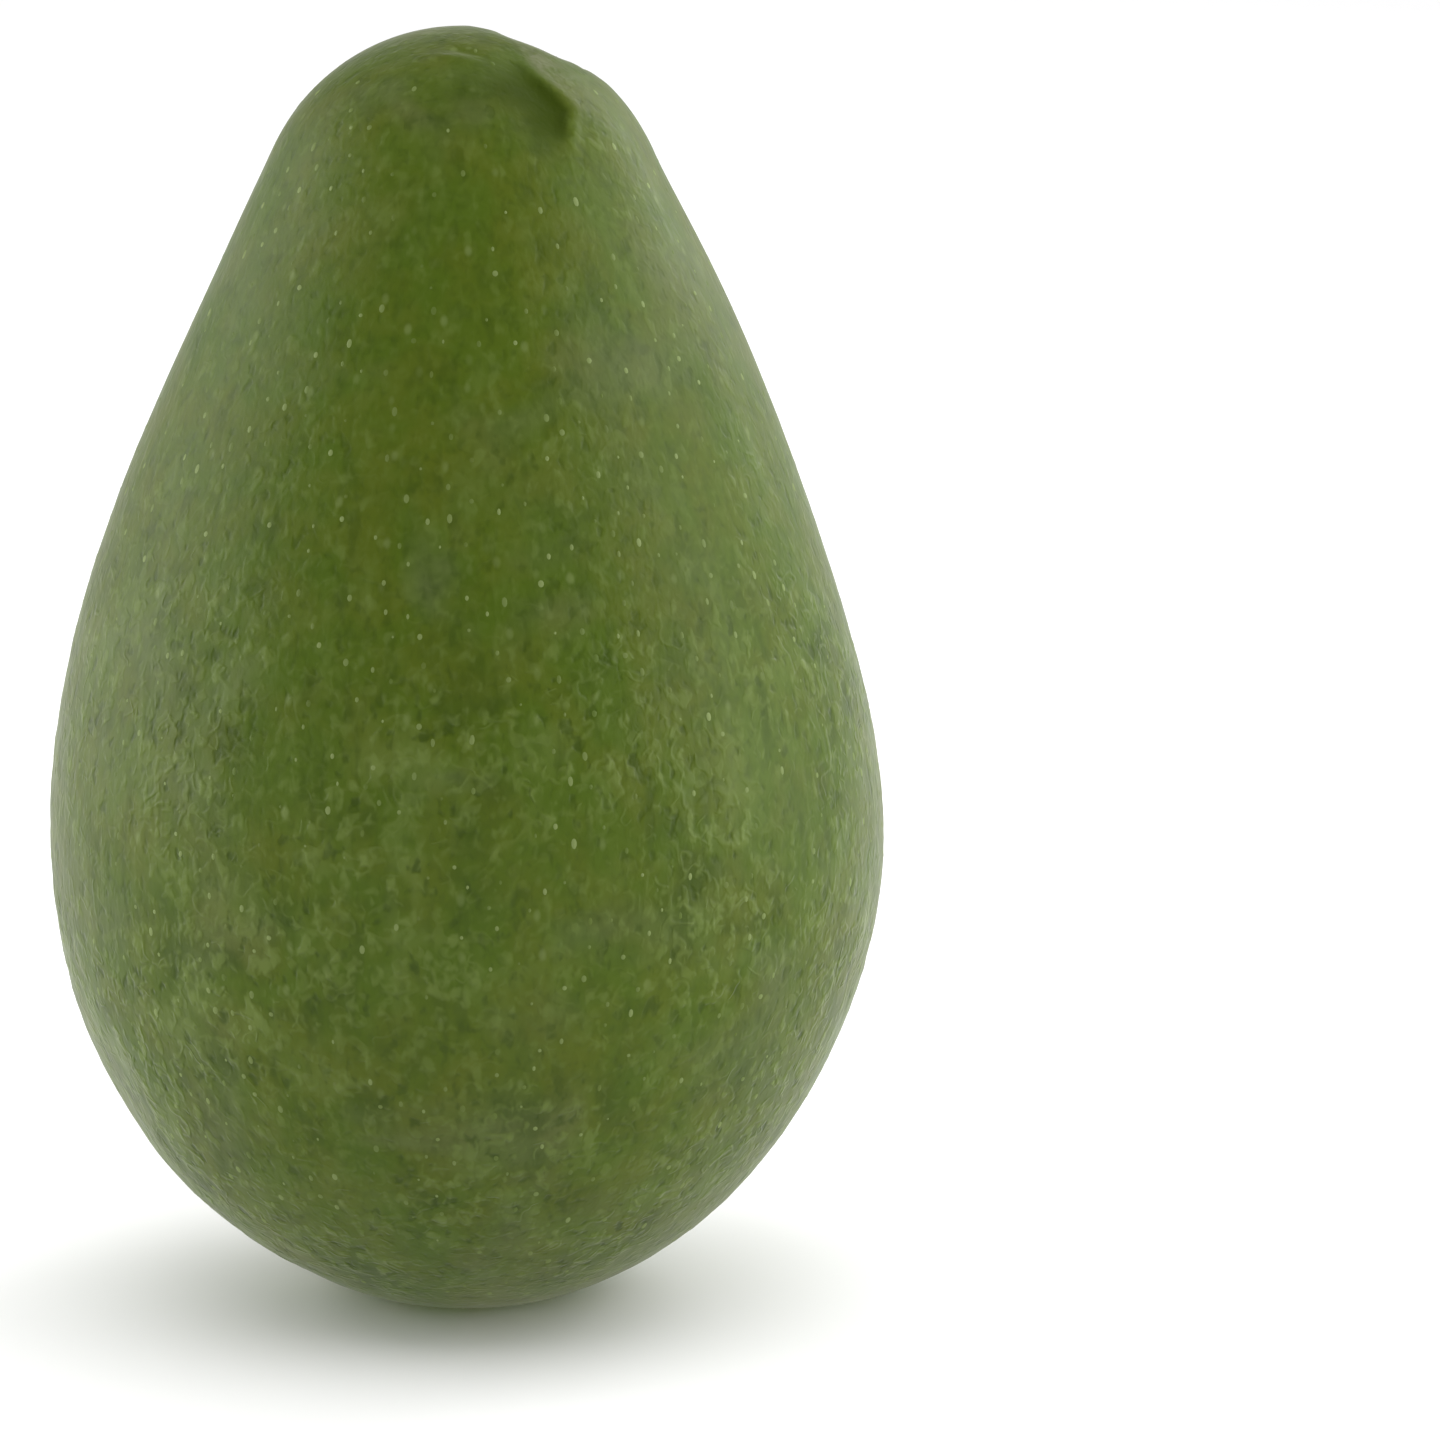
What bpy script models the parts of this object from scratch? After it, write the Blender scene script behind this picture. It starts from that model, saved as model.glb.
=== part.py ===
"""A whole avocado standing on its blossom end, with the stub of its stem still in its socket.

Metres, +Z up along the core. The origin is the centre of the small flat spot that the fruit rests on.
The shallow hollow beside the stem faces -Y and +X.
"""

from math import asin, cos, exp, pi, radians, sin, sqrt

import bmesh
import bpy
from mathutils import Matrix, Vector

# Fruit: an elliptical base, a tapering neck and a round crown
FRUIT_HEIGHT = 0.1200
BELLY_RADIUS = 0.0394  # side to side, along X
BELLY_DEPTH_RADIUS = 0.0380  # front to back, along Y
BASE_HALF_AXIS = 0.0458  # vertical half-axis of the elliptical base
REST_SPOT_RADIUS = 0.0085
CROWN_RADIUS = 0.0193
CROWN_SHIFT = 0.0003  # how far the crown's centre lies to +X of the core
NECK_TAPER = radians(22.4)  # how far the neck leans in where it meets the crown
BELLY_PULL = 0.0239  # handle of the neck curve at the belly
NECK_PULL = 0.0031  # handle of the neck curve at the crown

# Growth swell: one gentle ridge that winds round the fruit, so that no two sides are alike
SWELL_HEIGHT = 0.00024
SWELL_PITCH = 0.055  # rise of the ridge in one turn
SWELL_PHASE = radians(72)
SWELL_FADE = 0.014  # height over which the swell starts and ends

# Stem end: a flatter face on the crown, with a dish round the socket that holds the stem
STEM_TILT = radians(24)  # lean of the stem's axis from the core
STEM_AZIMUTH = radians(20)  # direction of that lean, from +X towards +Y
FACE_RADIUS = 0.0070
FACE_DOME = 0.0008  # what is left of the crown's roundness between the face's edge and its middle
DISH_RADIUS = 0.0050
DISH_DEPTH = 0.0009
STEM_RADIUS = 0.0029
STEM_LENGTH = 0.0030
STEM_PROUD = 0.0006  # how far the stem stands above the floor of the dish
STEM_CLEARANCE = 0.0003  # between the stem and its socket, at the side and below
STEM_EDGE = 0.0005  # rounding of the stem's edges
STEM_DOME = 0.0002  # rise of the stem's top at its middle

# Hollow beside the stem: a long shallow dent that runs down the crown
HOLLOW_TILT = radians(43)
HOLLOW_AZIMUTH = radians(-54)
HOLLOW_HALF_LENGTH = 0.0062
HOLLOW_HALF_WIDTH = 0.0031
HOLLOW_DEPTH = 0.0009

# Fineness of the mesh
SEGMENTS = 56
BASE_RINGS = 15
NECK_RINGS = 13
CROWN_RINGS = 11
FACE_RINGS = 5
STEM_SEGMENTS = 28
STEM_EDGE_SEGMENTS = 3


def direction(tilt, azimuth):
    """The unit vector that leans from +Z by tilt, towards azimuth."""
    return Vector((sin(tilt) * cos(azimuth), sin(tilt) * sin(azimuth), cos(tilt)))


def ease(share):
    """0 below 0, 1 above 1, and a smooth rise between."""
    share = min(max(share, 0), 1)
    return share * share * (3 - 2 * share)


REST_ANGLE = asin(REST_SPOT_RADIUS / BELLY_RADIUS)
BELLY_HEIGHT = BASE_HALF_AXIS * cos(REST_ANGLE)
CROWN_CENTRE = Vector((CROWN_SHIFT, 0, FRUIT_HEIGHT - CROWN_RADIUS))
NECK_RADIUS = CROWN_RADIUS * cos(NECK_TAPER)
NECK_HEIGHT = CROWN_CENTRE.z + CROWN_RADIUS * sin(NECK_TAPER)
STEM_AXIS = direction(STEM_TILT, STEM_AZIMUTH)
SOCKET_RADIUS = STEM_RADIUS + STEM_CLEARANCE
SOCKET_DEPTH = STEM_LENGTH - STEM_PROUD + STEM_CLEARANCE
ANGLES = [2 * pi * step / SEGMENTS for step in range(SEGMENTS)]


def upright_stations():
    """(radius, height) of each ring from the rest spot up to the neck's end."""
    for step in range(BASE_RINGS + 1):
        angle = REST_ANGLE + (pi / 2 - REST_ANGLE) * step / BASE_RINGS
        yield BELLY_RADIUS * sin(angle), BELLY_HEIGHT - BASE_HALF_AXIS * cos(angle)
    belly = Vector((BELLY_RADIUS, BELLY_HEIGHT))
    neck = Vector((NECK_RADIUS, NECK_HEIGHT))
    belly_handle = belly + Vector((0, BELLY_PULL))
    neck_handle = neck + NECK_PULL * Vector((sin(NECK_TAPER), -cos(NECK_TAPER)))
    for step in range(1, NECK_RINGS + 1):
        t = step / NECK_RINGS
        s = 1 - t
        yield tuple(s**3 * belly + 3 * s * s * t * belly_handle + 3 * s * t * t * neck_handle + t**3 * neck)


def upright_ring(radius, height):
    """A level ring round the core, slightly oval up to the belly and round at the neck."""
    to_neck = ease((height - BELLY_HEIGHT) / (NECK_HEIGHT - BELLY_HEIGHT))
    oval = BELLY_DEPTH_RADIUS / BELLY_RADIUS
    oval += (1 - oval) * to_neck
    swell = SWELL_HEIGHT * ease(height / SWELL_FADE) * ease((NECK_HEIGHT - height) / SWELL_FADE)
    points = []
    for angle in ANGLES:
        reach = radius + swell * cos(angle + 2 * pi * height / SWELL_PITCH + SWELL_PHASE)
        across = reach * cos(angle) + CROWN_SHIFT * to_neck
        points.append(Vector((across, reach * oval * sin(angle), height)))
    return points


def leaning_ring(lean, radius, height):
    """A ring square to an axis through the crown's centre, which leans by this share of the stem's tilt."""
    turn = Matrix.Rotation(lean * STEM_TILT, 3, Vector((-sin(STEM_AZIMUTH), cos(STEM_AZIMUTH), 0)))
    return [CROWN_CENTRE + turn @ Vector((radius * cos(a), radius * sin(a), height)) for a in ANGLES]


def dented(point):
    """The point, pushed in where it lies in the hollow beside the stem."""
    outward = (point - CROWN_CENTRE).normalized()
    middle = direction(HOLLOW_TILT, HOLLOW_AZIMUTH)
    down = direction(HOLLOW_TILT + pi / 2, HOLLOW_AZIMUTH)
    offset = CROWN_RADIUS * (outward - middle)
    along = offset.dot(down) / HOLLOW_HALF_LENGTH
    across = offset.dot(middle.cross(down)) / HOLLOW_HALF_WIDTH
    near = ease(outward.dot(middle))
    return point - outward * HOLLOW_DEPTH * near * exp(-(along**2) - across**2)


def face_height(radius):
    """How far the stem end's face lies from the crown's centre, along the stem's axis."""
    edge = sqrt(CROWN_RADIUS**2 - FACE_RADIUS**2)
    dome = FACE_DOME * (1 - (radius / FACE_RADIUS) ** 2)
    dish = DISH_DEPTH * ease((DISH_RADIUS - radius) / (DISH_RADIUS - SOCKET_RADIUS))
    return edge + dome - dish


def fruit_rings():
    """Every ring of the fruit, from the rest spot over the crown and down into the stem's socket."""
    rings = [upright_ring(radius, height) for radius, height in upright_stations()]
    first = pi / 2 - NECK_TAPER
    last = asin(FACE_RADIUS / CROWN_RADIUS)
    for step in range(1, CROWN_RINGS + 1):
        share = step / CROWN_RINGS
        angle = first + (last - first) * share
        ring = leaning_ring(share, CROWN_RADIUS * sin(angle), CROWN_RADIUS * cos(angle))
        rings.append([dented(point) for point in ring])
    for step in range(1, FACE_RINGS + 1):
        radius = FACE_RADIUS + (SOCKET_RADIUS - FACE_RADIUS) * step / FACE_RINGS
        ring = leaning_ring(1, radius, face_height(radius))
        rings.append([dented(point) for point in ring])
    rings.append(leaning_ring(1, SOCKET_RADIUS, face_height(SOCKET_RADIUS) - SOCKET_DEPTH))
    return rings


def plain_material(name, colour, roughness):
    """A Principled material with one colour."""
    material = bpy.data.materials.new(name)
    material.use_nodes = True
    shader = material.node_tree.nodes["Principled BSDF"]
    shader.inputs["Base Color"].default_value = (*colour, 1)
    shader.inputs["Roughness"].default_value = roughness
    shader.inputs["Metallic"].default_value = 0
    return material


def add_object(name, shape, material, parent):
    """A smooth-shaded object made from a finished bmesh."""
    mesh = bpy.data.meshes.new(name)
    shape.to_mesh(mesh)
    shape.free()
    mesh.shade_smooth()
    mesh.set_sharp_from_angle(angle=radians(40))
    mesh.materials.append(material)
    body = bpy.data.objects.new(name, mesh)
    bpy.context.scene.collection.objects.link(body)
    body.parent = parent
    return body


def make_fruit(parent):
    """The fruit is one solid: skin and flesh are not parted."""
    shape = bmesh.new()
    rings = [[shape.verts.new(point) for point in ring] for ring in fruit_rings()]
    for lower, upper in zip(rings, rings[1:]):
        for step in range(SEGMENTS):
            after = (step + 1) % SEGMENTS
            shape.faces.new((lower[step], lower[after], upper[after], upper[step]))
    shape.faces.new(reversed(rings[0]))
    shape.faces.new(rings[-1])
    skin = plain_material("skin", (0.075, 0.120, 0.006), 0.42)
    return add_object("fruit", shape, skin, parent)


def make_stem_button(parent):
    """The stub that stays on the fruit when its stalk is clipped, with round edges and a low domed top."""
    shape = bmesh.new()
    radius = STEM_RADIUS
    bmesh.ops.create_cone(
        shape, cap_ends=True, segments=STEM_SEGMENTS, radius1=radius, radius2=radius, depth=STEM_LENGTH
    )
    edges = [edge for edge in shape.edges if len(edge.link_faces) == 2 and edge.calc_face_angle() > radians(60)]
    bmesh.ops.bevel(
        shape, geom=edges, offset=STEM_EDGE, segments=STEM_EDGE_SEGMENTS, profile=0.5, affect="EDGES"
    )
    top = max(shape.faces, key=lambda face: face.calc_center_median().z)
    middle = bmesh.ops.poke(shape, faces=[top])["verts"][0]
    middle.co.z += STEM_DOME
    wood = plain_material("stem_wood", (0.150, 0.095, 0.045), 0.85)
    button = add_object("stem_button", shape, wood, parent)
    button.rotation_mode = "QUATERNION"
    button.rotation_quaternion = Vector((0, 0, 1)).rotation_difference(STEM_AXIS)
    top_height = face_height(SOCKET_RADIUS) + STEM_PROUD
    button.location = CROWN_CENTRE + STEM_AXIS * (top_height - STEM_LENGTH / 2)
    return button


def clear_scene():
    for item in list(bpy.data.objects):
        bpy.data.objects.remove(item, do_unlink=True)


clear_scene()
avocado = bpy.data.objects.new("avocado", None)
bpy.context.scene.collection.objects.link(avocado)
make_fruit(avocado)
make_stem_button(avocado)
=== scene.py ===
"""A whole avocado standing on its blossom end, with waxy, freckled, finely pebbled skin and a stem stub."""

import math

import bmesh
import bpy
import numpy as np
from mathutils import Matrix, Vector, noise
from mathutils.bvhtree import BVHTree


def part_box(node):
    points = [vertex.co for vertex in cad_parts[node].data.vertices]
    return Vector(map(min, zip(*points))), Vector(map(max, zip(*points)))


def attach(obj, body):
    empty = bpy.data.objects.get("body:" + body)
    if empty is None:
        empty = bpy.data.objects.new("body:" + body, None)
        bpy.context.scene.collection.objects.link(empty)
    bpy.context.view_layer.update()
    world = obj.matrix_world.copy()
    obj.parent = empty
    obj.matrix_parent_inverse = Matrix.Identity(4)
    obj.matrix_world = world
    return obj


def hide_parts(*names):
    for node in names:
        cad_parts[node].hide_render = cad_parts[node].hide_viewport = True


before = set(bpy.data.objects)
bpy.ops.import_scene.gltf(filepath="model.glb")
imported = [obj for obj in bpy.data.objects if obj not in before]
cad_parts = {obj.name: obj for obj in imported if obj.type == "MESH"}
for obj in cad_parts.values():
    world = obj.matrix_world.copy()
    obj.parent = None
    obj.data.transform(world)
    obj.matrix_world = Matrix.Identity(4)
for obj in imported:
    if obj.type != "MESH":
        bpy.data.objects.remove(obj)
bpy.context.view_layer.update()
fruit_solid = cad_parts["fruit"]
stem_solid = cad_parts["stem_button"]


# ---- The stem's place ----------------------------------------------------------------------------
# The stub of the stem leans out of the crown in a socket of its own. Its middle, axis, radius and
# ends are read from its solid, and the skin is dished and puckered round them.

stem_points = np.unique(np.round([v.co for v in stem_solid.data.vertices], 7), axis=0)
stem_middle = stem_points.mean(axis=0)
_, stem_directions = np.linalg.eigh(np.cov((stem_points - stem_middle).T))
stem_axis = stem_directions[:, 0] * np.sign(stem_directions[2, 0])


def stem_reach(points):
    """How far each point lies from the stem's axis, and how far along it from the stem's middle."""
    offset = np.asarray(points) - stem_middle
    along = offset @ stem_axis
    return np.linalg.norm(offset - along[:, None] * stem_axis, axis=1), along


stem_radius = stem_reach(stem_points)[0].max()
stem_bottom = stem_reach(stem_points)[1].min()
stem_top = stem_reach(stem_points)[1].max()


def ease(share):
    """0 below 0, 1 above 1, and a smooth rise between."""
    share = np.clip(share, 0, 1)
    return share * share * (3 - 2 * share)


# ---- Skin ----------------------------------------------------------------------------------------
# The skin is one closed surface round the flesh, standing for a skin about a millimetre thick. First
# the plain solid is smoothed, with the stem's socket filled in, as a guide for the fine surface.

SOCKET_REACH = 1.3  # in stem radii, within which the socket's walls are taken out of the guide
guide = bmesh.new()
guide.from_mesh(fruit_solid.data)
bmesh.ops.remove_doubles(guide, verts=guide.verts, dist=1e-6)
reach, along = stem_reach([v.co for v in guide.verts])
near_stem = (reach < SOCKET_REACH * stem_radius) & (along < 0)
in_socket = [v for v, inside in zip(guide.verts, near_stem) if inside]
bmesh.ops.delete(guide, geom=in_socket, context="VERTS")
bmesh.ops.holes_fill(guide, edges=guide.edges, sides=0)
flat_faces = [f for f in guide.faces if f.calc_center_median().z < 1e-5]
bmesh.ops.dissolve_faces(guide, faces=flat_faces)
triangles = [f for f in guide.faces if len(f.verts) == 3]
bmesh.ops.join_triangles(
    guide, faces=triangles, angle_face_threshold=math.radians(40), angle_shape_threshold=math.radians(60)
)
guide_mesh = bpy.data.meshes.new("guide")
guide.to_mesh(guide_mesh)
guide.free()
guide_object = bpy.data.objects.new("guide", guide_mesh)
bpy.context.scene.collection.objects.link(guide_object)
smoothing = guide_object.modifiers.new("smooth", "SUBSURF")
smoothing.levels = smoothing.render_levels = 2
guide_tree = BVHTree.FromObject(guide_object, bpy.context.evaluated_depsgraph_get())
bpy.data.objects.remove(guide_object)

# The fine surface is a rounded cube of nearly even squares, laid on the guide along rays from the
# core. A ray starts low in the base or high in the crown, and the squares share the skin's area.
LOW_START = 0.36  # shares of the fruit's height between which the rays start
HIGH_START = 0.83
SQUARES = 114  # along each edge of the cube
STEM_FINE = 0.0078  # reach from the stem's axis within which each square is split
STEM_FINEST = 0.0062
HOLLOW_TILT = 41.0  # the middle of the long hollow on the crown, from straight up
HOLLOW_AZIMUTH = -54.0
HOLLOW_FINE = 0.0095  # reach from that middle within which each square is split
CROWN_LEVEL = 0.839  # of the fruit's height, for the middle of the round crown
CROWN_SHARE = 0.161  # of the fruit's height, for the crown's radius

fruit_low, fruit_high = (np.array(corner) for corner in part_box("fruit"))
fruit_height = fruit_high[2] - fruit_low[2]
crown_middle = np.array([0, 0, fruit_low[2] + fruit_height * CROWN_LEVEL])
crown_radius = fruit_height * CROWN_SHARE


def crown_place(points, tilt, azimuth, turn=0.0):
    """Each point's place across and down a spot of the crown, in metres, and how near its side is."""
    tilt, azimuth, turn = (math.radians(angle) for angle in (tilt, azimuth, turn))
    middle = Vector((math.sin(tilt) * math.cos(azimuth), math.sin(tilt) * math.sin(azimuth), math.cos(tilt)))
    down = Vector((math.cos(tilt) * math.cos(azimuth), math.cos(tilt) * math.sin(azimuth), -math.sin(tilt)))
    down.rotate(Matrix.Rotation(turn, 3, middle))
    outward = points - crown_middle
    outward /= np.linalg.norm(outward, axis=1)[:, None]
    across = crown_radius * outward @ np.array(down.cross(middle))
    return across, crown_radius * outward @ np.array(down), ease(outward @ np.array(middle) * 1.6)


def ray_start(angle):
    """Where on the core the ray starts that leaves at this angle from straight down."""
    share = LOW_START + (HIGH_START - LOW_START) * ease((angle / math.pi - 0.3) / 0.4)
    return fruit_low[2] + fruit_height * share


turns = np.linspace(0, math.pi, 721)
outline = []
for turn in turns:
    start = Vector((0, 0, ray_start(turn)))
    aim = Vector((0, math.sin(turn), -math.cos(turn)))
    outline.append(guide_tree.ray_cast(start, aim)[0])
outline = np.array(outline)
steps = np.linalg.norm(np.diff(outline, axis=0), axis=1)
skin_area = np.concatenate([[0], np.cumsum(steps * (outline[1:, 1] + outline[:-1, 1]))])
skin_area /= skin_area[-1]


def laid_on_fruit(shape):
    """The place on the guide of each vertex of the rounded cube."""
    directions = np.array([v.co for v in shape.verts])
    directions = np.tan(directions * math.pi / 4)
    directions /= np.linalg.norm(directions, axis=1)[:, None]
    angles = np.interp((1 + directions[:, 2]) / 2, skin_area, turns)
    around = np.arctan2(directions[:, 1], directions[:, 0])
    starts = ray_start(angles)
    aims = np.stack([np.sin(angles) * np.cos(around), np.sin(angles) * np.sin(around), -np.cos(angles)], 1)
    return np.array([guide_tree.ray_cast(Vector((0, 0, z)), Vector(aim))[0] for z, aim in zip(starts, aims)])


cube = bmesh.new()
bmesh.ops.create_cube(cube, size=2)
bmesh.ops.subdivide_edges(cube, edges=cube.edges, cuts=SQUARES - 1, use_grid_fill=True)
for fine_reach, hollow_reach in ((STEM_FINE, HOLLOW_FINE), (STEM_FINEST, 0.0)):
    laid = laid_on_fruit(cube)
    reach, along = stem_reach(laid)
    across, down, near = crown_place(laid, HOLLOW_TILT, HOLLOW_AZIMUTH)
    by_stem = (reach < fine_reach) & (along > -2 * fine_reach)
    by_hollow = (np.hypot(across, down) < hollow_reach) & (near > 0.9)
    near = {v for v, fine in zip(cube.verts, by_stem | by_hollow) if fine}
    edges = [e for e in cube.edges if e.verts[0] in near and e.verts[1] in near]
    bmesh.ops.subdivide_edges(cube, edges=edges, cuts=1, use_grid_fill=True)
bmesh.ops.recalc_face_normals(cube, faces=cube.faces)
skin_mesh = bpy.data.meshes.new("skin")
cube.to_mesh(skin_mesh)
points = laid_on_fruit(cube)
cube.free()

# Sculpted: the pleats round the stem, the socket that the stem stands in, the crest beside
# the long hollow on the crown, a few creases on the crown, and the scar where the flower was. The
# hollow's edge and width are given by stations, each as a place down the crown and one across it.
SOCKET_GAP = 0.00012  # between the stem and the skin round it
SOCKET_LIP = 0.0004
PLEATS = 9
PLEAT_HEIGHT = 0.00004
PLEAT_REACH = 1.75  # from the stem's axis, in stem radii
PLEAT_SPREAD = 0.5
CREST_HEIGHT = 0.00024
CREST_MIDDLE = -0.0006  # across, from the hollow's edge
CREST_WIDTH = 0.0011
CREST_LOW_END = -0.0010  # above this place the crest sinks to a low ridge
CREST_SINK = 0.7
CREST_FADE = 0.003
FOOT_START = -0.0003  # the hollow's steep side, at the crest's foot
FOOT_WIDTH = 0.0018
HOLLOW_EDGE = ((-0.0032, -0.0011), (0.0, -0.0018), (0.0023, -0.0026), (0.0063, -0.0003))
HOLLOW_WIDTH = ((-0.0032, 0.0060), (-0.0010, 0.0066), (0.0015, 0.0056), (0.0063, 0.0030))
HOLLOW_DEPTH = 0.00030
HOLLOW_SPREAD = 0.0036
HOLLOW_MIDDLE = 0.0015
HOLLOW_LENGTH = 0.0052
HOLLOW_WOBBLE = 0.0007
WOBBLE_SIZES = (0.0035, 0.0030)  # across and down
DARK_START = -0.0005  # where the painted shade on the hollow's floor starts
DARK_FADE = 0.0010
SHOULDER_FALL = 0.0016  # the painted sheen on the shoulder on the crest's other side
SHOULDER_WIDTH = 0.0030
SHOULDER_MIDDLE = -0.0040
SHOULDER_LENGTH = 0.0036
CREASES = (  # tilt, azimuth, turn, half-width, half-length, height
    (27, -92, 80, 0.0007, 0.0024, 0.00022),
    (23, -84, 60, 0.0006, 0.0020, -0.00018),
    (31, -110, 100, 0.0008, 0.0030, 0.00014),
    (36, 150, 70, 0.0009, 0.0040, 0.00016),
    (30, 95, 110, 0.0008, 0.0034, 0.00016),
)
REST_SINK = 0.00028  # takes the rest spot back to the floor, flat
REST_FADE = 0.006
SCAR_RADIUS = 0.0016
SCAR_DEPTH = 0.0003
UNDERSIDE = 0.01  # height within which the skin counts as the fruit's underside
CROWN_FADE = 0.004  # along the stem, from the skin below it to the crown

skin_mesh.vertices.foreach_set("co", points.astype(np.float32).ravel())
skin_mesh.update()
normals = np.empty(len(points) * 3, np.float32)
skin_mesh.vertices.foreach_get("normal", normals)
normals = normals.reshape(-1, 3)
if (normals * (points - points.mean(axis=0))).sum() < 0:
    skin_mesh.flip_normals()
    normals = -normals

reach, along = stem_reach(points)
on_crown = ease(along / CROWN_FADE + 1.5)
stem_side = np.cross(stem_axis, [0, 1, 0])
stem_side /= np.linalg.norm(stem_side)
from_stem = points - stem_middle
around_stem = np.arctan2(from_stem @ np.cross(stem_axis, stem_side), from_stem @ stem_side)
pleat_wave = np.cos(PLEATS * around_stem + 1.7 * np.sin(2 * around_stem + 0.6))
pleat_offset = (reach - PLEAT_REACH * stem_radius) / (PLEAT_SPREAD * stem_radius)
lift = PLEAT_HEIGHT * pleat_wave * (np.exp(-(pleat_offset**2)) * on_crown)

across, down, near = crown_place(points, HOLLOW_TILT, HOLLOW_AZIMUTH)
across += HOLLOW_WOBBLE * np.array([noise.noise(Vector(point) / WOBBLE_SIZES[0]) for point in points])
down += HOLLOW_WOBBLE * np.array([noise.noise(Vector(point) / WOBBLE_SIZES[1]) for point in points])
across -= np.interp(down, *zip(*HOLLOW_EDGE))
along_hollow = np.exp(-(((down - HOLLOW_MIDDLE) / HOLLOW_LENGTH) ** 4)) * near
crest = np.exp(-(((across - CREST_MIDDLE) / CREST_WIDTH) ** 2)) * along_hollow
crest *= 1 - CREST_SINK * ease((CREST_LOW_END - down) / CREST_FADE)
lift += CREST_HEIGHT * crest
foot = ease((across - FOOT_START) / FOOT_WIDTH)
lift -= HOLLOW_DEPTH * foot * np.exp(-np.clip(across, 0, None) / HOLLOW_SPREAD) * along_hollow
width_here = np.interp(down, *zip(*HOLLOW_WIDTH))
# The hollow mask: where the hollow's floor gets painted shade in the skin's colour.
hollow = 0.75 * ease(1.5 - across / width_here) + 0.25 * ease(1.4 - 0.5 * across / width_here)
hollow *= ease((across - DARK_START) / DARK_FADE) * along_hollow
# The shoulder mask: where painted sheen is laid on the crest's other side.
shoulder = ease(-across / SHOULDER_FALL) * np.exp((across - CREST_MIDDLE) / SHOULDER_WIDTH)
shoulder *= np.exp(-(((down - SHOULDER_MIDDLE) / SHOULDER_LENGTH) ** 2)) * near

for tilt, azimuth, turn, half_width, half_length, height in CREASES:
    across, down, near = crown_place(points, tilt, azimuth, turn)
    lift += height * np.exp(-((across / half_width) ** 2) - (down / half_length) ** 2) * near

points = points + normals * lift[:, None]
socket_depth = stem_top - stem_bottom + SOCKET_GAP
wall = ease((stem_radius + SOCKET_GAP + SOCKET_LIP - reach) / SOCKET_LIP) * on_crown
points -= stem_axis * (wall * socket_depth)[:, None]
points[:, 2] -= REST_SINK * ease((REST_FADE - points[:, 2]) / REST_FADE)
points[:, 2] = np.maximum(points[:, 2], fruit_low[2])
scar_reach = np.linalg.norm(points[:, :2], axis=1)
scar = np.exp(-((scar_reach / SCAR_RADIUS) ** 2)) * (points[:, 2] < fruit_low[2] + UNDERSIDE)
points[:, 2] += SCAR_DEPTH * scar
skin_mesh.vertices.foreach_set("co", points.astype(np.float32).ravel())
skin_mesh.update()

# Where the pebbling, the painted shade in the hollow, the painted sheen on its shoulder, the stem's
# brown ring and the scar lie.
PATCH_SIZE = 0.013  # of the rougher and the smoother patches
PATCH_LEAST = 0.45
SMOOTH_ABOVE = 0.85  # of the fruit's height, where the neck is smooth
ROUGH_BELOW = 0.35
NECK_LEAST = 0.15
REST_SMOOTH = 0.006  # height over which the rest spot's smoothness fades
STEM_SMOOTH = 2.2  # in stem radii
RING_REACH = 1.9
RING_FADE = 0.8

height_share = (points[:, 2] - fruit_low[2]) / fruit_height
patches = np.array([noise.noise(Vector(point) / PATCH_SIZE) for point in points])
patches = PATCH_LEAST + (1 - PATCH_LEAST) * ease(0.5 + 1.6 * patches)
up_the_fruit = (SMOOTH_ABOVE - height_share) / (SMOOTH_ABOVE - ROUGH_BELOW)
pebbling = NECK_LEAST + (1 - NECK_LEAST) * ease(up_the_fruit)
pebbling *= ease(points[:, 2] / REST_SMOOTH)
pebbling *= patches
pebbling *= 1 - ease((stem_radius * STEM_SMOOTH - reach) / stem_radius) * on_crown
skin_marks = {
    "pebbling": pebbling,
    "hollow": hollow,
    "russet": np.clip(shoulder, 0, 1),
    "stem_ring": ease((stem_radius * RING_REACH - reach) / (stem_radius * RING_FADE)) * on_crown,
    "scar": scar,
}
for name, values in skin_marks.items():
    mark = skin_mesh.attributes.new(name, "FLOAT", "POINT")
    mark.data.foreach_set("value", values.astype(np.float32))
skin_mesh.shade_smooth()
skin = bpy.data.objects.new("fruit_skin", skin_mesh)
bpy.context.scene.collection.objects.link(skin)


def add_node(tree, kind, values=None, **settings):
    """A node with its settings made, and its inputs, by name or number, set or joined to a socket."""
    node = tree.nodes.new(kind)
    for name, value in settings.items():
        setattr(node, name, value)
    for socket, value in (values or {}).items():
        if isinstance(value, bpy.types.NodeSocket):
            tree.links.new(value, node.inputs[socket])
        else:
            node.inputs[socket].default_value = value
    return node


def sum_up(tree, operation, first, second=None, third=None):
    """The result of one Math node."""
    values = {place: value for place, value in enumerate((first, second, third)) if value is not None}
    return add_node(tree, "ShaderNodeMath", values, operation=operation).outputs[0]


def band(tree, value, start, end, low=0.0, high=1.0):
    """The value's smooth rise from low at start to high at end."""
    values = {"Value": value, "From Min": start, "From Max": end, "To Min": low, "To Max": high}
    return add_node(tree, "ShaderNodeMapRange", values, interpolation_type="SMOOTHSTEP").outputs[0]


def grown_noise(tree, place, size, detail=2.0, distortion=0.0):
    """Soft noise whose blobs are about this size, in metres."""
    values = {"Vector": place, "Scale": 1 / size, "Detail": detail, "Distortion": distortion}
    return add_node(tree, "ShaderNodeTexNoise", values).outputs[0]


def short_ridges(tree, place, size, width, breaks):
    """Short winding ridges: the level lines of a soft noise, broken up by a second one."""
    level = grown_noise(tree, place, size, 1.0, 0.5)
    away = sum_up(tree, "ABSOLUTE", sum_up(tree, "SUBTRACT", level, 0.5))
    line = band(tree, away, width, 0.0)
    whole = band(tree, grown_noise(tree, place, breaks, 0.0), 0.50, 0.64)
    return sum_up(tree, "MULTIPLY", line, whole)


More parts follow.
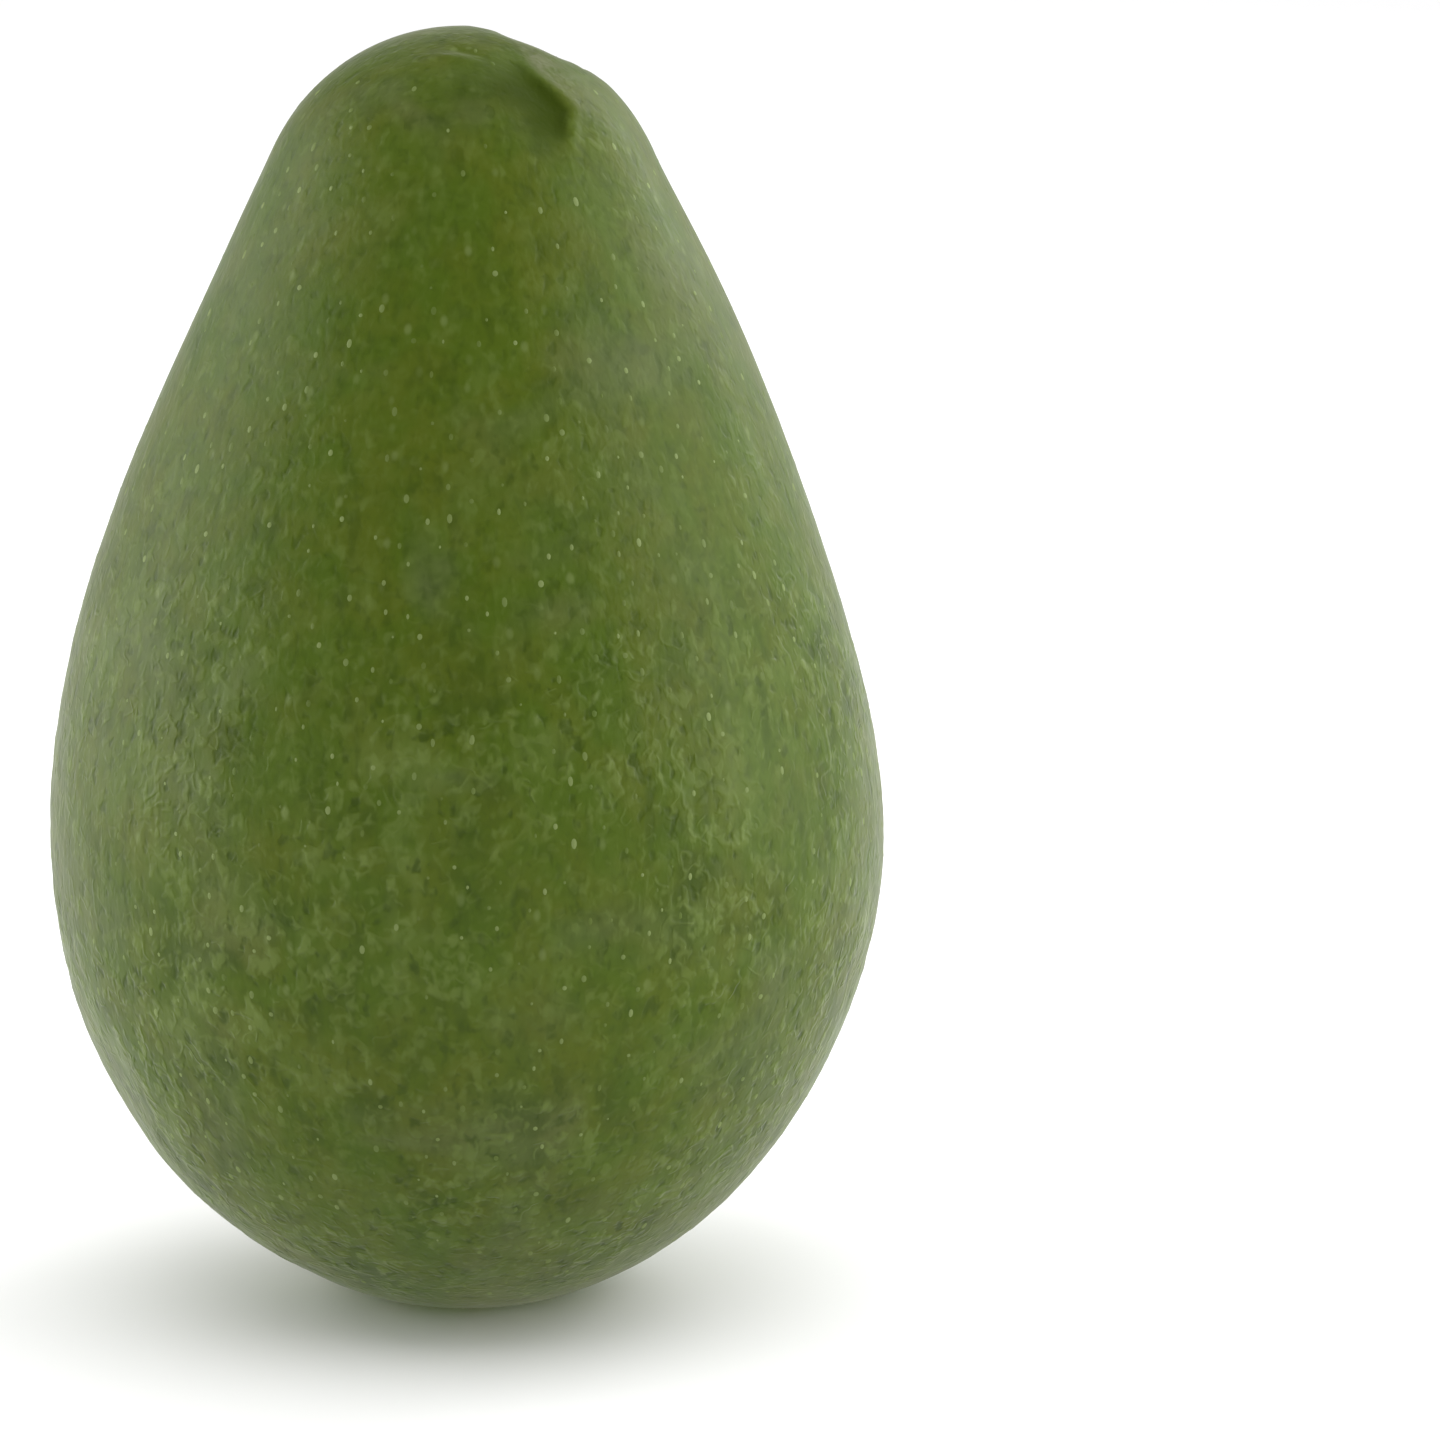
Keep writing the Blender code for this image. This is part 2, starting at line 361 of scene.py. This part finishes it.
def pebbles(tree, place, size):
    """Low rounded grains, packed side by side, from -0.5 to 0.5."""
    return sum_up(tree, "SUBTRACT", grown_noise(tree, place, size, 1.0, 0.3), 0.5)


# The relief is grown by a rule: low swells, rounded pebbles and short winding ridges, which fade out
# towards the neck, the stem and the spot that the fruit rests on.
SWELL_SIZE = 0.011
PEBBLE_SIZE = 0.0024
RIDGE_SIZE = 0.0028
RIDGE_WIDTH = 0.085
RIDGE_BREAKS = 0.0017

relief = bpy.data.node_groups.new("skin relief", "GeometryNodeTree")
relief.interface.new_socket("Skin", in_out="INPUT", socket_type="NodeSocketGeometry")
for name in ("Swell Height", "Pebble Height", "Ridge Height"):
    relief.interface.new_socket(name, in_out="INPUT", socket_type="NodeSocketFloat")
relief.interface.new_socket("Material", in_out="INPUT", socket_type="NodeSocketMaterial")
relief.interface.new_socket("Skin", in_out="OUTPUT", socket_type="NodeSocketGeometry")
entry = relief.nodes.new("NodeGroupInput").outputs
place = add_node(relief, "GeometryNodeInputPosition").outputs[0]
named = add_node(relief, "GeometryNodeInputNamedAttribute", {"Name": "pebbling"}, data_type="FLOAT")
swells = sum_up(relief, "SUBTRACT", grown_noise(relief, place, SWELL_SIZE), 0.5)
rise = sum_up(relief, "MULTIPLY", swells, entry["Swell Height"])
rise = sum_up(relief, "MULTIPLY_ADD", pebbles(relief, place, PEBBLE_SIZE), entry["Pebble Height"], rise)
winding = short_ridges(relief, place, RIDGE_SIZE, RIDGE_WIDTH, RIDGE_BREAKS)
rise = sum_up(relief, "MULTIPLY_ADD", winding, entry["Ridge Height"], rise)
rise = sum_up(relief, "MULTIPLY", rise, named.outputs[0])
normal = add_node(relief, "GeometryNodeInputNormal").outputs[0]
offset = add_node(relief, "ShaderNodeVectorMath", {0: normal, "Scale": rise}, operation="SCALE").outputs[0]
moved = add_node(relief, "GeometryNodeSetPosition", {"Geometry": entry["Skin"], "Offset": offset}).outputs[0]
whole = add_node(relief, "GeometryNodeRealizeInstances", {"Geometry": moved}).outputs[0]
coated = add_node(relief, "GeometryNodeSetMaterial", {"Geometry": whole, "Material": entry["Material"]})
relief.links.new(coated.outputs[0], relief.nodes.new("NodeGroupOutput").inputs[0])


def grow(body, tree, values):
    """Runs a tree on a body with these inputs, keeps the result as its plain mesh and drops the modifier."""
    modifier = body.modifiers.new(tree.name, "NODES")
    modifier.node_group = tree
    for item in tree.interface.items_tree:
        if item.in_out == "INPUT" and item.name in values:
            modifier[item.identifier] = values[item.name]
    bpy.context.view_layer.update()
    evaluated = body.evaluated_get(bpy.context.evaluated_depsgraph_get())
    mesh = bpy.data.meshes.new_from_object(evaluated)
    body.modifiers.remove(modifier)
    body.data = mesh


# The skin's colour and gloss: leaf green mottled with olive, clouded with lighter and darker patches,
# painted highlights on the ridges, curls and dabs and painted shade in the pits, freckles, fine
# streaks up the neck, painted shade in the hollow, painted sheen on its shoulder, a brown ring round
# the stem, and patches of wax bloom that also carry painted sheen.
LEAF = (0.078, 0.133, 0.0052, 1)
OLIVE = (0.101, 0.136, 0.0072, 1)
# The darker tone is also the painted shade in the pits; the paler one is also the painted highlight on the
# ridges, curls and dabs.
DEEP_TONE_AND_SHADE = (0.036, 0.066, 0.0018, 1)
PALE_TONE_AND_HIGHLIGHT = (0.190, 0.260, 0.0600, 1)
# Wax bloom patches that also carry painted sheen:
BLOOM_AND_SHEEN = (0.150, 0.174, 0.0800, 1)
FRECKLE = (0.250, 0.320, 0.1050, 1)
# Painted shade for the hollow's floor, and painted sheen for the shoulder beside it:
HOLLOW_PAINTED_SHADE = (0.038, 0.063, 0.0001, 1)
SHOULDER_PAINTED_SHEEN = (0.250, 0.260, 0.1500, 1)
BARK = (0.110, 0.075, 0.0250, 1)
CURL_SIZE = 0.0020  # small ridges between the winding ones
CURL_WIDTH = 0.120
CURL_BREAKS = 0.0013
BROAD_MOTTLE = 0.020
SMALL_MOTTLE = 0.0052
MOTTLE_SHADE = 0.0034
DAB_SIZE = 0.0016
DAB_HEIGHT = 0.7  # share of its height that dabs and grains keep, so they're drawn out upwards
GRAIN_SIZE = 0.0008
STREAK_SIZE = 0.0019
STREAK_HEIGHT = 0.16
BLOOM_SIZE = 0.017
CLOUD_SIZE = 0.0062
FLECK_SPACING = 0.0023
FLECK_RADIUS = 0.00050
FLECK_CHANCE = 0.7
FLECK_STRETCH = 1.6
# size of the patches in the painted sheen on the hollow's shoulder
SHOULDER_SHEEN_SIZE = 0.0012


def colour_group(name, inputs, outputs):
    """An empty shader group with named inputs and outputs, each given as a name and a kind."""
    tree = bpy.data.node_groups.new(name, "ShaderNodeTree")
    for title, kind in inputs:
        tree.interface.new_socket(title, in_out="INPUT", socket_type="NodeSocket" + kind)
    for title, kind in outputs:
        tree.interface.new_socket(title, in_out="OUTPUT", socket_type="NodeSocket" + kind)
    return tree, tree.nodes.new("NodeGroupInput").outputs, tree.nodes.new("NodeGroupOutput").inputs


def mixed(tree, share, first, second):
    """The colour this share of the way from first to second."""
    node = add_node(tree, "ShaderNodeMix", {0: share, 6: first, 7: second}, data_type="RGBA")
    return node.outputs[2]


mottle, entry, result = colour_group(
    "mottle",
    [("Place", "Vector"), ("Ground", "Color"), ("Tint", "Color"), ("Shade", "Color")],
    [("Colour", "Color")],
)
broad = band(mottle, grown_noise(mottle, entry["Place"], BROAD_MOTTLE, 3.0), 0.42, 0.62)
small = band(mottle, grown_noise(mottle, entry["Place"], SMALL_MOTTLE, 3.0, 0.1), 0.38, 0.66)
tinted = sum_up(mottle, "MULTIPLY_ADD", small, 0.65, sum_up(mottle, "MULTIPLY", broad, 0.35))
shaded = grown_noise(mottle, entry["Place"], MOTTLE_SHADE, 2.0, 0.1)
shaded = band(mottle, shaded, 0.55, 0.75, 0.0, 0.36)
colour = mixed(mottle, tinted, entry["Ground"], entry["Tint"])
mottle.links.new(mixed(mottle, shaded, colour, entry["Shade"]), result[0])


def use_group(tree, group, values):
    """The outputs of a group placed in a material with its own values."""
    return add_node(tree, "ShaderNodeGroup", values, node_tree=group).outputs


def new_material(name):
    """A material, its tree, its Principled shader and its Object coordinates."""
    material = bpy.data.materials.new(name)
    material.use_nodes = True
    tree = material.node_tree
    place = add_node(tree, "ShaderNodeTexCoord").outputs["Object"]
    return material, tree, tree.nodes["Principled BSDF"], place


def marked(tree, name):
    """The values of one of the piece's own marks."""
    return add_node(tree, "ShaderNodeAttribute", attribute_name=name).outputs["Fac"]


def drawn_out(tree, place, share):
    """The place with its height cut to this share, which draws a pattern out upwards."""
    return add_node(tree, "ShaderNodeMapping", {"Vector": place, "Scale": (1, 1, share)}).outputs[0]


def flecks(tree, place, spacing, radius, chance):
    """Small soft dots, one in some of the cells of a pattern, as a mask."""
    cells = add_node(tree, "ShaderNodeTexVoronoi", {"Vector": place, "Scale": 1 / spacing})
    dot = band(tree, cells.outputs["Distance"], radius / spacing, 0.25 * radius / spacing)
    kept = add_node(tree, "ShaderNodeSeparateColor", {0: cells.outputs["Color"]}).outputs
    shown = band(tree, kept[0], 1 - chance, 1 - chance + 0.05)
    strength = band(tree, kept[1], 0.0, 1.0, 0.35, 1.0)
    return sum_up(tree, "MULTIPLY", sum_up(tree, "MULTIPLY", dot, shown), strength)


skin_material, tree, shader, place = new_material("avocado_skin")
mask = marked(tree, "pebbling")
winding = short_ridges(tree, place, RIDGE_SIZE, RIDGE_WIDTH, RIDGE_BREAKS)
winding = sum_up(tree, "MULTIPLY", winding, mask)
curls = sum_up(tree, "MULTIPLY", short_ridges(tree, place, CURL_SIZE, CURL_WIDTH, CURL_BREAKS), mask)
drawn_up = drawn_out(tree, place, DAB_HEIGHT)
dabbing = grown_noise(tree, drawn_up, DAB_SIZE, 2.0, 0.15)
dab_share = sum_up(tree, "MULTIPLY_ADD", mask, 0.75, 0.25)
dabs = sum_up(tree, "MULTIPLY", band(tree, dabbing, 0.56, 0.72), dab_share)
pits = sum_up(tree, "MULTIPLY", band(tree, dabbing, 0.42, 0.27), dab_share)
grains = pebbles(tree, drawn_up, GRAIN_SIZE)
streaks = grown_noise(tree, drawn_out(tree, place, STREAK_HEIGHT), STREAK_SIZE, 2.0, 0.3)
bright_streaks = band(tree, streaks, 0.52, 0.74)
dark_streaks = band(tree, streaks, 0.44, 0.26)
bloom_and_sheen = band(tree, grown_noise(tree, place, BLOOM_SIZE, 3.0, 0.5), 0.50, 0.72)
clouds = grown_noise(tree, place, CLOUD_SIZE, 2.0, 0.2)
light_clouds = sum_up(tree, "MULTIPLY", band(tree, clouds, 0.52, 0.70), mask)
dark_clouds = sum_up(tree, "MULTIPLY", band(tree, clouds, 0.48, 0.30), mask)
fleck_place = drawn_out(tree, place, 1 / FLECK_STRETCH)
pale_flecks = flecks(tree, fleck_place, FLECK_SPACING, FLECK_RADIUS, FLECK_CHANCE)
hollow_shade_area = marked(tree, "hollow")
shoulder_sheen_strength = band(tree, grown_noise(tree, place, SHOULDER_SHEEN_SIZE, 2.0, 0.5), 0.36, 0.60, 0.45, 0.95)

layers = (  # where each one lies, how much of it shows there, and its colour, from the lowest up
    # wax bloom patches that also carry painted sheen
    (bloom_and_sheen, 0.42, BLOOM_AND_SHEEN),
    (light_clouds, 0.31, PALE_TONE_AND_HIGHLIGHT),
    (dark_clouds, 0.55, DEEP_TONE_AND_SHADE),
    (bright_streaks, 0.16, PALE_TONE_AND_HIGHLIGHT),
    (dark_streaks, 0.35, DEEP_TONE_AND_SHADE),
    (band(tree, grains, 0.0, 0.22), 0.07, PALE_TONE_AND_HIGHLIGHT),
    (band(tree, grains, 0.0, -0.22), 0.18, DEEP_TONE_AND_SHADE),
    # painted shade in the sunken pits, then painted highlights on the raised ridges, curls and dabs
    (pits, 0.75, DEEP_TONE_AND_SHADE),
    (winding, 0.28, PALE_TONE_AND_HIGHLIGHT),
    (curls, 0.34, PALE_TONE_AND_HIGHLIGHT),
    (dabs, 0.54, PALE_TONE_AND_HIGHLIGHT),
    (pale_flecks, 0.42, FRECKLE),
    # painted shade in the hollow, then painted sheen on its shoulder
    (hollow_shade_area, 0.95, HOLLOW_PAINTED_SHADE),
    (marked(tree, "russet"), shoulder_sheen_strength, SHOULDER_PAINTED_SHEEN),
    (marked(tree, "stem_ring"), 0.75, BARK),
    (marked(tree, "scar"), 1.0, BARK),
)
colour = use_group(tree, mottle, {"Place": place, "Ground": LEAF, "Tint": OLIVE, "Shade": DEEP_TONE_AND_SHADE})["Colour"]
for where, shown, paint in layers:
    colour = mixed(tree, sum_up(tree, "MULTIPLY", where, shown), colour, paint)
tree.links.new(colour, shader.inputs["Base Color"])

dull = 0.42
for where, duller in ((bloom_and_sheen, 0.06), (hollow_shade_area, 0.55), (grains, 0.15), (bright_streaks, -0.06)):
    dull = sum_up(tree, "MULTIPLY_ADD", where, duller, dull)
tree.links.new(dull, shader.inputs["Roughness"])
shader.inputs["IOR"].default_value = 1.26
shader.inputs["Sheen Weight"].default_value = 0.16
shader.inputs["Sheen Roughness"].default_value = 0.40
shader.inputs["Sheen Tint"].default_value = (1.0, 0.98, 0.88, 1)

bump_heights = (
    (grains, 0.00005),
    (winding, 0.00007),
    (curls, 0.00004),
    (dabs, 0.00006),
    (pits, -0.00006),
    (bright_streaks, 0.00002),
)
bumps = 0.0
for where, height in bump_heights:
    bumps = sum_up(tree, "MULTIPLY_ADD", where, height, bumps)
bump = add_node(tree, "ShaderNodeBump", {"Height": bumps, "Strength": 1.0, "Distance": 1.0})
tree.links.new(bump.outputs[0], shader.inputs["Normal"])

relief_heights = {"Swell Height": 0.00035, "Pebble Height": 0.00026, "Ridge Height": 0.00005}
grow(skin, relief, {**relief_heights, "Material": skin_material})
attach(skin, "root")
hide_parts("fruit")


# ---- Freckles ------------------------------------------------------------------------------------
# Lenticels, the corky breathing pores of the skin, stand up as low pale domes about half a millimetre
# across. They are strewn over the skin by a rule, in loose clumps, and drawn out towards the stem.
DOME_SEGMENTS = 10
DOME_SHOULDER = 0.62  # of the dome's radius
DOME_SINK = 0.1  # of its height, into the skin

dome = bmesh.new()
bmesh.ops.create_cone(
    dome, cap_ends=True, segments=DOME_SEGMENTS, radius1=1.0, radius2=DOME_SHOULDER, depth=0.5
)
bmesh.ops.translate(dome, verts=dome.verts, vec=(0, 0, -DOME_SINK))
top = max(dome.faces, key=lambda face: face.calc_center_median().z)
bmesh.ops.poke(dome, faces=[top], offset=0.12)
bottom = min(dome.faces, key=lambda face: face.calc_center_median().z)
bmesh.ops.delete(dome, geom=[bottom], context="FACES_ONLY")
dome_mesh = bpy.data.meshes.new("freckle")
dome.to_mesh(dome_mesh)
dome.free()
dome_mesh.shade_smooth()
dome_object = bpy.data.objects.new("freckle", dome_mesh)

MOST_FRECKLES = 160000.0  # tried for in each square metre, before the spacing thins them
CLUMP_SIZE = 0.016

strewn = bpy.data.node_groups.new("strewn freckles", "GeometryNodeTree")
strewn.interface.new_socket("Skin", in_out="INPUT", socket_type="NodeSocketGeometry")
for name in ("Spacing", "Radius", "Height"):
    strewn.interface.new_socket(name, in_out="INPUT", socket_type="NodeSocketFloat")
strewn.interface.new_socket("Seed", in_out="INPUT", socket_type="NodeSocketInt")
strewn.interface.new_socket("Freckle", in_out="INPUT", socket_type="NodeSocketObject")
strewn.interface.new_socket("Material", in_out="INPUT", socket_type="NodeSocketMaterial")
strewn.interface.new_socket("Freckles", in_out="OUTPUT", socket_type="NodeSocketGeometry")
entry = strewn.nodes.new("NodeGroupInput").outputs
place = add_node(strewn, "GeometryNodeInputPosition").outputs[0]
clumps = band(strewn, grown_noise(strewn, place, CLUMP_SIZE), 0.35, 0.6, 0.35, 1.0)
named = add_node(strewn, "GeometryNodeInputNamedAttribute", {"Name": "freckled"}, data_type="FLOAT")
wanted = sum_up(strewn, "MULTIPLY", clumps, named.outputs[0])
scatter = add_node(
    strewn,
    "GeometryNodeDistributePointsOnFaces",
    {
        "Mesh": entry["Skin"],
        "Distance Min": entry["Spacing"],
        "Density Max": MOST_FRECKLES,
        "Density Factor": wanted,
        "Seed": entry["Seed"],
    },
    distribute_method="POISSON",
)
long_way = add_node(
    strewn,
    "FunctionNodeAlignRotationToVector",
    {"Vector": (0.0, 0.0, 1.0), "Rotation": scatter.outputs["Rotation"]},
    axis="Y",
    pivot_axis="Z",
)
size = add_node(strewn, "FunctionNodeRandomValue", {"Min": 0.50, "Max": 1.25, "Seed": 3}, data_type="FLOAT")
size = sum_up(strewn, "MULTIPLY", size.outputs[1], entry["Radius"])
length = add_node(strewn, "FunctionNodeRandomValue", {"Min": 1.0, "Max": 1.9, "Seed": 5}, data_type="FLOAT")
length = sum_up(strewn, "MULTIPLY", length.outputs[1], size)
scale = add_node(strewn, "ShaderNodeCombineXYZ", {"X": size, "Y": length, "Z": entry["Height"]}).outputs[0]
model = add_node(strewn, "GeometryNodeObjectInfo", {"Object": entry["Freckle"]}).outputs["Geometry"]
placed = add_node(
    strewn,
    "GeometryNodeInstanceOnPoints",
    {
        "Points": scatter.outputs["Points"],
        "Instance": model,
        "Rotation": long_way.outputs[0],
        "Scale": scale,
    },
)
tone = add_node(strewn, "FunctionNodeRandomValue", {"Min": 0.0, "Max": 1.0, "Seed": 8}, data_type="FLOAT")
toned = add_node(
    strewn,
    "GeometryNodeStoreNamedAttribute",
    {"Geometry": placed.outputs[0], "Name": "tone", "Value": tone.outputs[1]},
    data_type="FLOAT",
    domain="INSTANCE",
)
whole = add_node(strewn, "GeometryNodeRealizeInstances", {"Geometry": toned.outputs[0]}).outputs[0]
corky = add_node(strewn, "GeometryNodeSetMaterial", {"Geometry": whole, "Material": entry["Material"]})
strewn.links.new(corky.outputs[0], strewn.nodes.new("NodeGroupOutput").inputs[0])

CORK_GRAIN = 0.0004
cork_material, tree, shader, place = new_material("lenticel_cork")
colour = use_group(tree, mottle, {"Place": place, "Ground": LEAF, "Tint": OLIVE, "Shade": DEEP_TONE_AND_SHADE})["Colour"]
share = band(tree, marked(tree, "tone"), 0.0, 1.0, 0.15, 0.90)
tree.links.new(mixed(tree, share, colour, FRECKLE), shader.inputs["Base Color"])
dull = sum_up(tree, "MULTIPLY_ADD", grown_noise(tree, place, CORK_GRAIN), 0.2, 0.45)
tree.links.new(dull, shader.inputs["Roughness"])
shader.inputs["IOR"].default_value = 1.36

freckles = bpy.data.objects.new("freckles", skin.data.copy())
bpy.context.scene.collection.objects.link(freckles)
freckled_points = np.array([v.co for v in freckles.data.vertices])
reach, along = stem_reach(freckled_points)
freckled = ease(freckled_points[:, 2] / 0.004 - 0.4) * ease(reach / stem_radius - 1.8)
hollow_shade_area = np.empty(len(freckled_points), np.float32)
freckles.data.attributes["hollow"].data.foreach_get("value", hollow_shade_area)
freckled *= 1 - ease(2 * hollow_shade_area)
mark = freckles.data.attributes.new("freckled", "FLOAT", "POINT")
mark.data.foreach_set("value", freckled.astype(np.float32))
freckle_sizes = {"Spacing": 0.0018, "Radius": 0.00028, "Height": 0.00009}
grow(freckles, strewn, {**freckle_sizes, "Seed": 11, "Freckle": dome_object, "Material": cork_material})
bpy.data.objects.remove(dome_object)
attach(freckles, "root")


# ---- Stem ----------------------------------------------------------------------------------------
# The stub left when the stalk was clipped: dry bark round a ring of woody fibres and a sunken pith,
# broken off a little unevenly. It stands in its socket with a hair of room all round.
STEM_SEGMENTS = 72
STEM_RINGS = 12  # on its top
STEM_RIM = 0.00035
RIM_STEPS = 4
RAGGEDNESS = 0.045  # of the stem's radius
WALL_ROOM = 0.03  # of the stem's radius, which keeps the bark off the skin
TOP_SINK = 0.00012
FIBRE_HEIGHT = 0.00009
PITH_SHARE = 0.26
PITH_DEPTH = 0.00028

stem_up = Vector(stem_axis)
stem_turn = Vector((0, 0, 1)).rotation_difference(stem_up).to_matrix()
stem_low, stem_high = float(stem_bottom), float(stem_top)
wall_heights = (stem_low + STEM_RIM, 0.5 * stem_low, 0.2 * stem_high, stem_high - STEM_RIM)
stations = [(1.0, height) for height in wall_heights]
for step in range(1, RIM_STEPS + 1):
    turn = step / RIM_STEPS * math.pi / 2
    edge = STEM_RIM / float(stem_radius)
    stations.append((1 - edge * (1 - math.cos(turn)), stem_high - STEM_RIM * (1 - math.sin(turn))))
rim_share = stations[-1][0]
for step in range(1, STEM_RINGS):
    stations.append((rim_share * (1 - step / STEM_RINGS), stem_high))
stem_shape = bmesh.new()
reach_layer = stem_shape.verts.layers.float.new("stem_reach")
rings = []
for share, height in stations:
    ring = []
    for segment in range(STEM_SEGMENTS):
        angle = 2 * math.pi * segment / STEM_SEGMENTS
        side = Vector((math.cos(angle), math.sin(angle), 0))
        ragged = noise.noise(side * 2.6 + Vector((0, 0, height * 400))) * RAGGEDNESS
        fibres = noise.noise(side * share * 9 + Vector((4, 1, 0))) + 0.5 * noise.noise(side * share * 24)
        pith = float(ease(1 - share / PITH_SHARE)) if share < PITH_SHARE else 0.0
        top_share = float(ease((height - stem_high) / STEM_RIM + 1))
        level = height + top_share * (FIBRE_HEIGHT * fibres - PITH_DEPTH * pith - TOP_SINK)
        spread = float(stem_radius) * share * (1 - WALL_ROOM + ragged * share)
        spot = stem_turn @ (side * spread + Vector((0, 0, level)))
        vertex = stem_shape.verts.new(Vector(stem_middle) + spot)
        vertex[reach_layer] = share * top_share
        ring.append(vertex)
    rings.append(ring)
for lower, upper in zip(rings, rings[1:]):
    for segment in range(STEM_SEGMENTS):
        after = (segment + 1) % STEM_SEGMENTS
        stem_shape.faces.new((lower[segment], lower[after], upper[after], upper[segment]))
stem_shape.faces.new(reversed(rings[0]))
stem_shape.faces.new(rings[-1])
stem_mesh = bpy.data.meshes.new("stem_stub")
stem_shape.to_mesh(stem_mesh)
stem_shape.free()
stem_mesh.shade_smooth()
stem_mesh.set_sharp_from_angle(angle=math.radians(50))
stem_stub = bpy.data.objects.new("stem_stub", stem_mesh)
bpy.context.scene.collection.objects.link(stem_stub)

wood_material, tree, shader, place = new_material("stem_wood")
DRY_BARK = (0.105, 0.078, 0.046, 1)
FIBRE = (0.300, 0.225, 0.130, 1)
PITH = (0.045, 0.028, 0.014, 1)
WOOD_GRAIN = 0.00035
reach = marked(tree, "stem_reach")
wood_paints = {"Place": place, "Ground": DRY_BARK, "Tint": FIBRE, "Shade": PITH}
colour = use_group(tree, mottle, wood_paints)["Colour"]
wood_grain = grown_noise(tree, place, WOOD_GRAIN, 3.0)
colour = mixed(tree, band(tree, wood_grain, 0.42, 0.68, 0.0, 0.7), colour, FIBRE)
ring_band = sum_up(tree, "MULTIPLY", band(tree, reach, 0.45, 0.62), band(tree, reach, 0.92, 0.78))
colour = mixed(tree, sum_up(tree, "MULTIPLY", ring_band, 0.55), colour, FIBRE)
colour = mixed(tree, band(tree, reach, 0.30, 0.12, 0.0, 0.8), colour, PITH)
tree.links.new(colour, shader.inputs["Base Color"])
tree.links.new(sum_up(tree, "MULTIPLY_ADD", wood_grain, 0.2, 0.7), shader.inputs["Roughness"])
wood_bump = add_node(tree, "ShaderNodeBump", {"Height": wood_grain, "Strength": 0.8, "Distance": 0.0002})
tree.links.new(wood_bump.outputs[0], shader.inputs["Normal"])
stem_mesh.materials.append(wood_material)
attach(stem_stub, "root")
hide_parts("stem_button")


# ---- Studio --------------------------------------------------------------------------------------
# A pale floor with a soft sun of its own, soft boxes at both sides and behind, one above that gives
# no gloss, a world that is brightest at the horizon, and a long lens that looks slightly down.
FLOOR_SIZE = 12.0
floor_mesh = bpy.data.meshes.new("floor")
corner = FLOOR_SIZE / 2
floor_level = float(fruit_low[2])
floor_sides = ((-corner, -corner), (corner, -corner), (corner, corner), (-corner, corner))
floor_mesh.from_pydata([(x, y, floor_level) for x, y in floor_sides], [], [(0, 1, 2, 3)])
floor = bpy.data.objects.new("floor", floor_mesh)
bpy.context.scene.collection.objects.link(floor)
floor_material, tree, shader, place = new_material("pale_floor")
shader.inputs["Base Color"].default_value = (0.86, 0.86, 0.86, 1)
shader.inputs["Roughness"].default_value = 0.9
shader.inputs["IOR"].default_value = 1.1
floor_mesh.materials.append(floor_material)
floor.visible_diffuse = False  # so the fruit's underside is lit by the weaker world below


def shine(name, kind, place, aim, power, **settings):
    """A lamp at a place, facing its aim, which the camera doesn't see."""
    lamp = bpy.data.lights.new(name, kind)
    lamp.energy = power
    for setting, value in settings.items():
        setattr(lamp, setting, value)
    body = bpy.data.objects.new(name, lamp)
    body.location = place
    body.rotation_euler = (Vector(place) - Vector(aim)).to_track_quat("Z", "Y").to_euler()
    body.visible_camera = False
    bpy.context.scene.collection.objects.link(body)
    return body


FRUIT_HEART = (0, 0, 0.06)
SOFT_BOXES = (  # name, place, power, width, height
    ("left_box", (-0.87, 0.06, 0.25), 6.6, 0.9, 0.9),
    ("right_box", (0.80, -0.16, 0.30), 4.9, 0.6, 0.9),
    ("back_box", (0.72, 0.62, 0.62), 4.6, 0.6, 0.8),
    ("top_box", (0.0, -0.35, 1.05), 1.7, 0.7, 0.7),
)
boxes = {}
for name, place, power, width, height in SOFT_BOXES:
    sides = {"shape": "RECTANGLE", "size": width, "size_y": height}
    boxes[name] = shine(name, "AREA", place, FRUIT_HEART, power, **sides)
boxes["top_box"].visible_glossy = False
floor_light = shine("floor_light", "SUN", (0, 0.6, 1.5), (0, 0, 0), 2.7, angle=math.radians(110))
floor_only = bpy.data.collections.new("floor_only")
floor_only.objects.link(floor)
floor_light.light_linking.receiver_collection = floor_only

ZENITH_LIGHT = 0.27
HORIZON_LIGHT = 0.82
GROUND_SHARE = 0.75  # of the light at the horizon, from below
world = bpy.data.worlds.new("studio")
world.use_nodes = True
sky = world.node_tree
direction = add_node(sky, "ShaderNodeTexCoord").outputs["Generated"]
upward = add_node(sky, "ShaderNodeSeparateXYZ", {0: direction}).outputs["Z"]
glow = band(sky, upward, 0.0, 0.5, HORIZON_LIGHT, ZENITH_LIGHT)
glow = sum_up(sky, "MULTIPLY", glow, band(sky, upward, -0.5, 0.0, GROUND_SHARE, 1.0))
backdrop = add_node(sky, "ShaderNodeLightPath").outputs["Is Camera Ray"]
sky.links.new(sum_up(sky, "MAXIMUM", glow, backdrop), sky.nodes["Background"].inputs["Strength"])
sky.nodes["Background"].inputs["Color"].default_value = (1, 1, 1, 1)
bpy.context.scene.world = world

CAMERA_LENS = 135.0
CAMERA_DISTANCE = 0.508
CAMERA_TILT = math.radians(12)
CAMERA_AIM = Vector((0.024, 0, 0.055))
lens = bpy.data.cameras.new("camera")
lens.sensor_width = 36.0
lens.lens = CAMERA_LENS
camera = bpy.data.objects.new("camera", lens)
away = Vector((0, -math.cos(CAMERA_TILT), math.sin(CAMERA_TILT)))
camera.location = CAMERA_AIM + away * CAMERA_DISTANCE
camera.rotation_euler = away.to_track_quat("Z", "Y").to_euler()
bpy.context.scene.collection.objects.link(camera)
bpy.context.scene.camera = camera
bpy.context.scene.view_settings.view_transform = "Standard"
